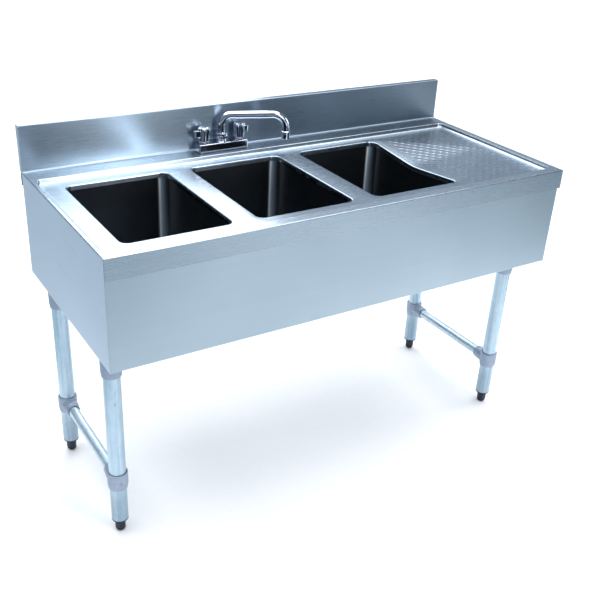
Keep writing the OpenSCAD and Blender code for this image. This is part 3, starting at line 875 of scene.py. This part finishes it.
def build_bowl(node):
    low, high = box_mm(node)
    sheet = Vector((SHEET, SHEET))
    low, high = low.xy + sheet, high.xy - sheet
    centre = (low + high) / 2

    def around(inset):
        return outline(low, high, BOWL_R, inset, 10, 24)

    rings = [[(x, y, DECK - SHEET - WALL_GAP - pour_drop(x, y)) for x, y in around(0)],
             [(x, y, BOWL_FLOOR + BOTTOM_R) for x, y in around(0)]]
    for k in range(1, 9):
        angle = math.radians(90 * k / 8)
        z = BOWL_FLOOR + DRAIN_SINK + (BOTTOM_R - DRAIN_SINK) * (1 - math.sin(angle))
        rings.append([(x, y, z) for x, y in around(BOTTOM_R * (1 - math.cos(angle)))])
    edge = [Vector(point[:2]) for point in rings[-1]]
    drain = [centre + (point - centre).normalized() * DRAIN_HOLE for point in edge]
    for share in FLOOR_STEPS:
        z = BOWL_FLOOR + DRAIN_SINK - DRAIN_SINK * (1 - (1 - share) ** 1.5)
        rings.append([(*start.lerp(end, share), z) for start, end in zip(edge, drain)])
    bowl = Shape()
    bowl.loft(rings)
    obj = add_object(node.replace("bowl_", "drawn_bowl_"), bowl)
    wall = obj.data.polygons[0]
    if wall.normal.dot(centre.to_3d() * MM - wall.center) < 0:
        obj.data.flip_normals()
    obj.data.materials.append(LOOKS["bowl_steel"])
    obj.data.materials.append(BOWL_OUTSIDE)
    thicken(obj).material_offset = 1
    final_mesh(obj)
    shade(obj)
    tie(obj, node, "sink")


def threads(radius, depth, pitch, begin, end):
    """Profile of a thread from begin up to end, one groove for each turn."""
    profile = []
    z = begin
    while z < end:
        profile += [(radius, z), (radius - depth, z + pitch / 2)]
        z += pitch
    return profile


BAR_W, BAR_H, BAR_DROP = 2.6, 3.0, 6


def cross_bar(centre, reach, turn):
    """Bar with a ridge along its top, across the drain."""
    along_bar = Matrix.Rotation(math.radians(turn), 4, "Z")
    side, low, high = BAR_W / 2, BOWL_FLOOR - BAR_DROP, BOWL_FLOOR - BAR_DROP + BAR_H
    section = [(-side, low), (side, low), (side, high - 1), (0, high), (-side, high - 1)]
    return solid_loft([[centre + along_bar @ Vector((x, w, z)) for w, z in section] for x in (-reach, reach)])


def build_drain(name):
    low, high = box_mm("drain_" + name)
    centre = (low + high) / 2
    top = high.z
    bore, body, flange = 18.6, 22.0, 31.0
    profile = [(bore, low.z), (body - 0.6, low.z), (body, low.z + 0.8)]
    profile += threads(body, 0.7, 1.6, low.z + 2, BOWL_FLOOR - 4)
    profile += [(body, BOWL_FLOOR - 2), (body, BOWL_FLOOR), (flange - 1, BOWL_FLOOR + 0.1),
                (flange, BOWL_FLOOR + 0.8), (flange - 1.2, top), (flange - 5, top - 0.1),
                (bore + 3, top - 1.2), (bore + 1, top - 3.2), (bore, top - 6)]
    bars = [cross_bar(Vector((centre.x, centre.y, 0)), bore + 0.4, turn) for turn in (0, 90)]
    shape = merged(lathe(profile, 64, centre), *bars)
    add_piece("drain_fitting_" + name, "drain_" + name, shape, "chrome_plate", 0.005)


for bowl_node in BOWLS:
    build_bowl(bowl_node)
    build_drain(bowl_node.split("_")[1])


# -------- legs

def build_leg(corner):
    """Upright tube with softened ends."""
    node = "leg_" + corner
    r, inner, soft = half_width(node), half_width(node) - LEG_WALL, 0.5
    end = [(inner, soft), (inner + soft, 0), (r - soft, 0), (r, soft)]
    turned_piece("tube_" + node, node, measured(node, end, end[::-1]), "galvanised_steel", 64)


def on_its_side(shape, shift=(0, 0, 0)):
    """Lays an upright shape along Y."""
    turn = Matrix.Translation(shift) @ Matrix.Rotation(math.radians(-90), 4, "X")
    shape.verts = [tuple(turn @ Vector(v)) for v in shape.verts]


def build_stretcher(side):
    node = "stretcher_" + side
    low, high = box_mm(node)
    r = (high.z - low.z) / 2
    centre = middle(node)
    inner = r - STRETCHER_WALL
    tube = lathe([(inner, low.y), (r, low.y), (r, high.y), (inner, high.y)])
    on_its_side(tube, (centre.x, 0, centre.z))
    add_piece("tube_" + node, node, tube, "galvanised_steel", material=STRETCHER_ZINC_LIT)


def cast_mesh(shape, cuts, voxel):
    """Fuses overlapping closed shapes into one soft casting, then cuts its bores."""
    obj = add_object("casting", shape, weld=0.001)
    fuse = obj.modifiers.new("fuse", "REMESH")
    fuse.mode = "VOXEL"
    fuse.voxel_size = voxel * MM
    soft = obj.modifiers.new("soft", "SMOOTH")
    soft.iterations = 5
    soft.factor = 0.5
    final_mesh(obj)
    for cut in cuts:
        cutter = add_object("cutter", cut, weld=0.001)
        bore = obj.modifiers.new("bore", "BOOLEAN")
        bore.operation = "DIFFERENCE"
        bore.object = cutter
        bore.solver = "EXACT"
        final_mesh(obj)
        bpy.data.objects.remove(cutter)
    return obj


BOSS_R = 16.7
BORE_PLAY = 0.35    # room round the tube in a casting's bore
BORE_MOUTH = 1.4    # widening at the bore's ends


def build_collars():
    """Tee collars: a sleeve on the leg that flares into a boss for the stretcher."""
    low, high = box_mm("stretcher_collar_front_left")
    leg = middle("leg_front_left")
    outer, reach = leg.y - low.y, high.y - leg.y
    half = (high.z - low.z) / 2
    sleeve = lathe([(outer - 3.0, -half), (outer - 1.4, -half + 1.2), (outer - 1.2, -half + 8),
                    (outer, -half + 10), (outer, half - 1.2), (outer - 1.2, half)], 64, closed=False)
    # steps of the flare: share of its reach, half width and half height
    steps = [(0, outer - 3, half - 2), (0.5, outer - 4, half - 4), (0.8, BOSS_R + 0.8, BOSS_R + 1.6),
             (0.88, BOSS_R, BOSS_R), (1.0, BOSS_R, BOSS_R)]
    turns = [2 * math.pi * k / 48 for k in range(48)]
    flare = solid_loft([[(side * math.cos(a), reach * share, up * math.sin(a)) for a in turns]
                        for share, side, up in steps])
    mouth, snug = LEG_R + BORE_MOUTH, LEG_R + BORE_PLAY
    bore = lathe([(mouth, -half - 1), (mouth, -half), (snug, -half + 1.6), (snug, half - 1.6),
                  (mouth, half), (mouth, half + 1)], 64, closed=False)
    mouth, snug = STRETCHER_R + 1.3, STRETCHER_R + BORE_PLAY
    side_bore = lathe([(snug, LEG_R - 4), (snug, reach - 1.4), (mouth, reach), (mouth, reach + 2)],
                      closed=False)
    on_its_side(side_bore)
    casting = cast_mesh(merged(sleeve, flare), [bore, side_bore], 1.1)
    mesh = casting.data
    bpy.data.objects.remove(casting)
    for corner in CORNERS:
        leg = middle("leg_" + corner)
        obj = link_new("tee_collar_" + corner, mesh.copy())
        turn = 0 if corner.startswith("front") else 180
        obj.matrix_world = (Matrix.Translation(Vector((leg.x, leg.y, (low.z + high.z) / 2)) * MM)
                            @ Matrix.Rotation(math.radians(turn), 4, "Z"))
        finish_piece(obj, "cast_alloy", "stretcher_collar_" + corner, angle=40)


def build_socket(corner):
    """Cast socket: welding flange, fillet and a stepped mouth round the leg."""
    node = "leg_socket_" + corner
    outer, flange, bore = 23.0, half_width(node), LEG_R + 0.3
    profile = measured(
        node,
        [(bore, 1.4), (LEG_R + 1.4, 0), (outer - 1.6, 0), (outer - 0.9, 0.7), (outer - 0.9, 7), (outer, 9)],
        [(outer, 8), (outer + 0.4, 5), (flange - 0.6, 3), (flange, 2.4), (flange, 0), (bore, 0)])
    add_piece("socket_" + corner, node, lathe(profile, 64, middle("leg_" + corner)), "cast_alloy")


def build_insert():
    """Flanged plugs in the ends of the legs, each with a bore for the foot's screw."""
    low, high = box_mm("foot_inserts")
    flange_top = box_mm("leg_front_left")[0].z
    profile = [(5.1, low.z), (17.6, low.z), (18.7, low.z + 0.6), (LEG_R, low.z + 1.4),
               (LEG_R, flange_top - 0.1), (17.3, flange_top), (17.3, high.z - 1), (16.3, high.z),
               (5.1, high.z)]
    plugs = [lathe(profile, 64, middle("leg_" + corner)) for corner in CORNERS]
    add_piece("leg_plugs", "foot_inserts", merged(*plugs), "black_plastic")


def build_foot(corner):
    """Levelling foot: bevelled tip, wider band, hexagon and threaded stem."""
    node = "foot_" + corner
    top = box_mm(node)[1].z
    plug_low = box_mm("foot_inserts")[0].z
    profile = [(7.2, 0), (8.2, 0.3), (10.6, 3.4), (11.4, 4.6), (11.4, 8.6), (10.9, 9.4), (10.6, 10.0, 0.9),
               (10.8, 10.8, 1), (10.8, 25.4, 1), (10.4, 26.2, 1), (10.2, 26.6, 0.2), (10.6, 27.2),
               (10.6, plug_low - 0.9), (9.8, plug_low - 0.3), (5.0, plug_low - 0.3)]
    profile += threads(5.0, 0.5, 1.5, plug_low + 1, top - 3)
    profile += [(4.6, top - 1), (3.8, top)]
    turned_piece("levelling_" + node, node, profile, "black_plastic", closed=False, body=node + "_body",
                 angle=28)


# a lighter copy of the galvanised tube's tones for the level stretchers: painted light
STRETCHER_ZINC_LIT = galvanised("galvanised_steel_lit_copy", rgb(0.72, 0.82, 0.89), rgb(0.45, 0.60, 0.71))
for corner_name in CORNERS:
    build_leg(corner_name)
    build_socket(corner_name)
    build_foot(corner_name)
build_collars()
build_insert()
for side_name in ("left", "right"):
    build_stretcher(side_name)


# -------- faucet

HUB_H = 7
SPOUT_PIPE_R = 9.5
FIRST_BEND, SECOND_BEND = 24, 36
AERATOR_CUP = 8     # how far the spout reaches into the aerator


def build_faucet_body():
    low, high = box_mm("faucet_body")
    hub = high.z
    top = hub - HUB_H
    # steps up the bar: how far in, and the height
    steps = [(1.6, low.z), (0.2, low.z + 0.3), (0, low.z + 0.9), (0, low.z + 3.0), (0.7, low.z + 4.2),
             (1.0, top - 2.2), (1.3, top - 1.0), (2.2, top - 0.25), (3.6, top)]
    body = solid_loft([[(x, y, z) for x, y in outline(low.xy, high.xy, 5, inset, 6)] for inset, z in steps])
    r = half_width("spout_nut") - 6.8
    boss = lathe([(r + 0.1, top - 1), (r + 5.2, top - 0.2), (r + 3.6, top + 1.6), (r + 3.0, top + 3),
                  (r + 3.0, hub - 0.6), (r + 2.4, hub), (r + 0.1, hub)], 48, middle("faucet_body"))
    add_piece("faucet_bar", "faucet_body", merged(body, boss), "chrome_plate", 0.005)


def build_spout_nut():
    """Hexagon below a round collar."""
    r, bore = half_width("spout_nut"), 9.6
    profile = measured(
        "spout_nut",
        [(bore, 0), (r - 3.4, 0), (r - 2.6, 0.8, 0.6), (r - 2.4, 1.6, 1), (r - 2.4, 6.0, 1),
         (r - 2.6, 6.6, 0.6), (r - 2.8, 7), (r - 0.6, 7.4), (r, 8)],
        [(r, 1.2), (r - 0.4, 0.5), (r - 1.2, 0.1), (r - 2.4, 0), (bore, 0)])
    turned_piece("spout_lock_nut", "spout_nut", profile, "chrome_plate", 72, weld=0.005)


def build_spout():
    """Pipe that rises from the body, runs level and bends down into the aerator."""
    low, high = box_mm("spout_tube")
    foot, tip = middle("faucet_body"), middle("aerator")
    foot.z = tip.z = 0
    run = tip - foot
    reach, ahead = run.length, run.normalized()
    level = high.z - SPOUT_PIPE_R
    flat = [(0, low.z), (0, level - FIRST_BEND - 8)]
    flat += arc((FIRST_BEND, level - FIRST_BEND), FIRST_BEND, 180, 90, 12)
    flat += [(FIRST_BEND + (reach - FIRST_BEND - SECOND_BEND) * k / 6, level) for k in range(1, 6)]
    flat += arc((reach - SECOND_BEND, level - SECOND_BEND), SECOND_BEND, 90, 0, 16)
    flat += [(reach, box_mm("aerator")[1].z - AERATOR_CUP)]
    path = [foot + ahead * along_run + Vector((0, 0, z)) for along_run, z in flat]
    pipe = tube_along(path, SPOUT_PIPE_R, 40)
    add_piece("spout_pipe", "spout_tube", pipe, "chrome_plate", 0.005, body="spout", angle=60)


def build_aerator():
    """Cup on the end of the spout, with a flat screen in its mouth."""
    centre = middle("aerator")
    r = half_width("aerator")
    bore, cup = r - 3.5, SPOUT_PIPE_R + 0.05
    profile = measured(
        "aerator",
        [(bore, 0.6), (bore + 0.4, 0), (r - 2.2, 0), (r - 1.2, 0.8), (r - 0.9, 3)],
        [(r - 0.9, 7.4), (r - 1.6, 7.0), (r - 1.6, 6.4), (r - 0.4, 6.0), (r, 5.2), (r, 1.6), (r - 0.8, 0.6),
         (r - 2.2, 0), (cup, 0), (cup, 7.9), (bore, 8.2)])
    screen = lathe(measured("aerator", [(bore, 2.2), (bore, 3.0)], []), 40, centre, closed=False)
    shape = merged(lathe(profile, 56, centre), screen)
    add_piece("aerator_tip", "aerator", shape, "chrome_plate", 0.005, body="spout")


LOBES = 5
WING_WIDTH = 0.045      # half width of the wing, in turns
KNOB_R, FINGER_R = 10.2, 6.2
# levels of the knob: share of its height, size of its outline and share of the wing
KNOB_LEVELS = [(0.0, 0.80, 0), (0.02, 0.86, 0), (0.05, 0.88, 0), (0.29, 0.90, 0), (0.31, 0.90, 0.6),
               (0.33, 0.91, 0.95), (0.36, 0.91, 1.0), (0.55, 0.95, 1.0), (0.72, 0.99, 1.0),
               (0.745, 1.0, 0.95), (0.76, 1.0, 0.6), (0.765, 1.0, 0), (0.86, 1.0, 0), (0.90, 0.97, 0),
               (0.93, 0.91, 0), (0.955, 0.83, 0), (0.97, 0.74, 0), (1.0, 0.70, 0)]


def knob_radius(turn, size, wing, outward):
    """Lobed outline: round fingers with narrow grooves, and one longer wing."""
    finger = abs(math.cos(math.pi * (turn - outward) * LOBES)) ** 0.8
    away = abs(((turn - outward + 0.5) % 1) - 0.5)
    return size * (KNOB_R + FINGER_R * finger) + wing * math.exp(-(away / WING_WIDTH) ** 2)


def build_handle(name, outward):
    """Fluted knob whose wing points outward, given in turns from +X."""
    node = "handle_" + name
    low, high = box_mm(node)
    centre = middle("stem_" + name)
    wing_max = max(high.x - centre.x, centre.x - low.x) - 16.5
    turns = [k / 120 for k in range(120)]
    knob = solid_loft([[polar(centre, knob_radius(turn, size, wing * wing_max, outward), turn,
                              low.z + (high.z - low.z) * share) for turn in turns]
                       for share, size, wing in KNOB_LEVELS])
    add_piece("knob_" + name, node, knob, "chrome_plate", 0.005, body=name + "_valve", angle=50)


def build_cap(name):
    node = "handle_cap_" + name
    r = half_width(node)
    profile = measured(node, [(r - 0.6, 0), (r, 0.4)],
                       [(r, 1.0), (r - 0.5, 0.5), (r - 1.6, 0.25), (r - 4, 0.1), (1, 0)])
    turned_piece("index_cap_" + name, node, profile, "chrome_plate", closed=False, weld=0.005,
                 body=name + "_valve")


def build_bonnet(name):
    """Low hexagon with a round neck."""
    node = "bonnet_" + name
    r, bore = half_width(node), 4.1
    flats = r * math.cos(math.radians(30))
    profile = measured(
        node,
        [(bore, 0), (flats - 0.8, 0), (flats, 0.4, 1), (flats, 2.0, 1), (flats - 0.9, 2.5, 0.3),
         (r - 3.0, 2.6)],
        [(r - 3.0, 0.4), (r - 3.5, 0), (bore, 0)])
    turned_piece("valve_" + node, node, profile, "chrome_plate", 72, weld=0.005)


build_faucet_body()
build_spout_nut()
build_spout()
build_aerator()
for valve, wing_turn in (("hot", 0.5), ("cold", 0)):
    build_handle(valve, wing_turn)
    build_cap(valve)
    build_bonnet(valve)


# -------- carried-over CAD nodes

SLOT_OF = {part["node"]: part["material_slot"] for part in frame["record"]["subparts"]}
CARRIED = ["collar_set_screws", "socket_set_screws", "drain_gaskets", "drain_locknuts", "tailpiece_left",
           "tailpiece_center", "tailpiece_right", "faucet_gasket", "inlet_shanks", "shank_washers",
           "shank_locknuts", "stem_hot", "stem_cold"]
for node_name in CARRIED:
    node_object = frame["nodes"][node_name]
    node_object.data.materials.clear()
    node_object.data.materials.append(LOOKS[SLOT_OF[node_name]])
    round_edges(node_object, 0.3, 40)


# -------- room, light and camera

# where the floor's painted shade changes, in metres: begin and end of each change
FLOOR_FRONT, FLOOR_FAR_FRONT = (-0.86, -1.08), (-2.1, -2.7)
FLOOR_LEFT, FLOOR_BESIDE, FLOOR_SLANT = (-0.85, -1.15), (1.13, 1.6), (0.6, 1.3)


def floor_painted_shade():
    """Pale where the photograph looks; greyer painted shade around it, where mostly the steel sees the floor,
    and a paler painted pool of light in front of the sink.
    """
    look = Look("floor_painted_shade")
    place = look.axes(look.place)
    x, y = place["X"], place["Y"]
    front = look.span(y, *FLOOR_FRONT, 0, 1)
    left = look.span(look.combine("SUBTRACT", x, look.product(y, 0.225)), *FLOOR_LEFT, 0, 1)
    beside = look.span(look.combine("SUBTRACT", x, look.product(y, 1.25)), *FLOOR_BESIDE, 0, 1)
    slanted = look.combine("ADD", x, look.product(y, 0.8))
    right = look.product(beside, look.span(slanted, *FLOOR_SLANT, 0, 1))
    # painted pool of light: less grey in front of the sink near x = 0.9 m
    off_painted_pool = look.combine("ABSOLUTE", look.combine("SUBTRACT", x, 0.9), 0.0)
    grain = look.noise(size=60, detail=2)
    colour = look.mix(look.span(grain, 0.3, 0.7, 0, 1), rgb(0.94, 0.94, 0.94), rgb(0.96, 0.96, 0.96))
    colour = look.mix(left, colour, rgb(0.43, 0.48, 0.50))
    front_share = look.product(front, look.span(off_painted_pool, 0.0, 0.75, 0.42, 1))
    colour = look.mix(front_share, colour, rgb(0.34, 0.385, 0.405))
    dark_share = look.combine("MAXIMUM", look.span(y, *FLOOR_FAR_FRONT, 0, 1), right)
    colour = look.mix(dark_share, colour, rgb(0.22, 0.25, 0.27))
    return look.done(colour, look.span(grain, 0.3, 0.7, 0.85, 0.9))


FLOOR_HALF = 14.0


def build_floor():
    corners = [(x * FLOOR_HALF, y * FLOOR_HALF, 0) for x, y in ((-1, -1), (1, -1), (1, 1), (-1, 1))]
    mesh = bpy.data.meshes.new("floor")
    mesh.from_pydata(corners, [], [(0, 1, 2, 3)])
    mesh.materials.append(floor_painted_shade())
    link_new("floor", mesh)


def aim(obj, location, target):
    obj.location = location
    obj.rotation_euler = (Vector(target) - Vector(location)).to_track_quat("-Z", "Y").to_euler()


def softbox(name, location, target, size, brightness):
    """Rectangular area light; brightness is the radiance of its face."""
    light = bpy.data.lights.new(name, "AREA")
    light.shape = "RECTANGLE"
    light.size, light.size_y = size
    light.energy = brightness * math.pi * size[0] * size[1]
    aim(link_new(name, light), location, target)


def studio_world():
    """Dim room: darker in front of the sink than behind it, and dimmest near the horizon."""
    world = bpy.data.worlds.new("studio")
    bpy.context.scene.world = world
    world.use_nodes = True
    tree = world.node_tree
    direction = add_node(tree, "ShaderNodeTexCoord").outputs["Generated"]
    parts = add_node(tree, "ShaderNodeSeparateXYZ", {"Vector": direction}).outputs
    front_to_back = {"Value": parts["Y"], "From Min": -0.5, "From Max": 0.5}
    share = add_node(tree, "ShaderNodeMapRange", front_to_back).outputs[0]
    tone = add_node(tree, "ShaderNodeValToRGB", {"Fac": share})
    tone.color_ramp.elements[0].color = rgb(0.16, 0.19, 0.23)
    tone.color_ramp.elements[1].color = rgb(0.25, 0.30, 0.37)
    tree.links.new(tone.outputs["Color"], tree.nodes["Background"].inputs["Color"])
    height = {"Value": parts["Z"], "From Min": 0.02, "From Max": 0.22, "To Min": 0.6, "To Max": 1.0}
    strength = add_node(tree, "ShaderNodeMapRange", height).outputs[0]
    tree.links.new(strength, tree.nodes["Background"].inputs["Strength"])


SUN_POWER, SUN_ANGLE = 4.05, 80
# name, place, what it points at, size in metres, and brightness
SOFTBOXES = [
    ("front_strip", (0.62, -2.4, 1.9), (-0.3, 0.2, 0.8), (0.50, 2.2), 5.8),
    ("back_box", (0.52, 2.3, 1.95), (0.0, -0.2, 0.75), (1.4, 1.9), 2.5),
    ("right_card", (2.5, -0.3, 1.15), (0.0, 0.1, 0.75), (1.0, 1.0), 3.0),
    ("back_corner", (1.26, 1.67, 2.7), (0.55, 0.0, 0.75), (0.5, 0.4), 0.9),
]


def build_light():
    studio_world()
    sun = bpy.data.lights.new("overhead", "SUN")
    sun.energy = SUN_POWER
    sun.angle = math.radians(SUN_ANGLE)
    sun.color = (0.97, 0.985, 1.0)
    aim(link_new("overhead", sun), (0.2, 0.4, 4.0), (0, 0, 0.5))
    for values in SOFTBOXES:
        softbox(*values)


CAMERA_PLACE = (-1.08971, -1.65923, 1.41625)
CAMERA_TURN = (62.2423, -2.8563, -31.9566)      # degrees about X, Y and Z
CAMERA_LENS = 51.49


def build_camera():
    """The photograph's view: long side turned away, looking down from the front left."""
    camera = bpy.data.cameras.new("camera")
    camera.lens = CAMERA_LENS
    camera.sensor_width = 36
    obj = link_new("camera", camera)
    obj.location = CAMERA_PLACE
    obj.rotation_euler = tuple(math.radians(a) for a in CAMERA_TURN)
    bpy.context.scene.camera = obj


build_floor()
build_light()
build_camera()
bpy.context.scene.view_settings.view_transform = "Standard"
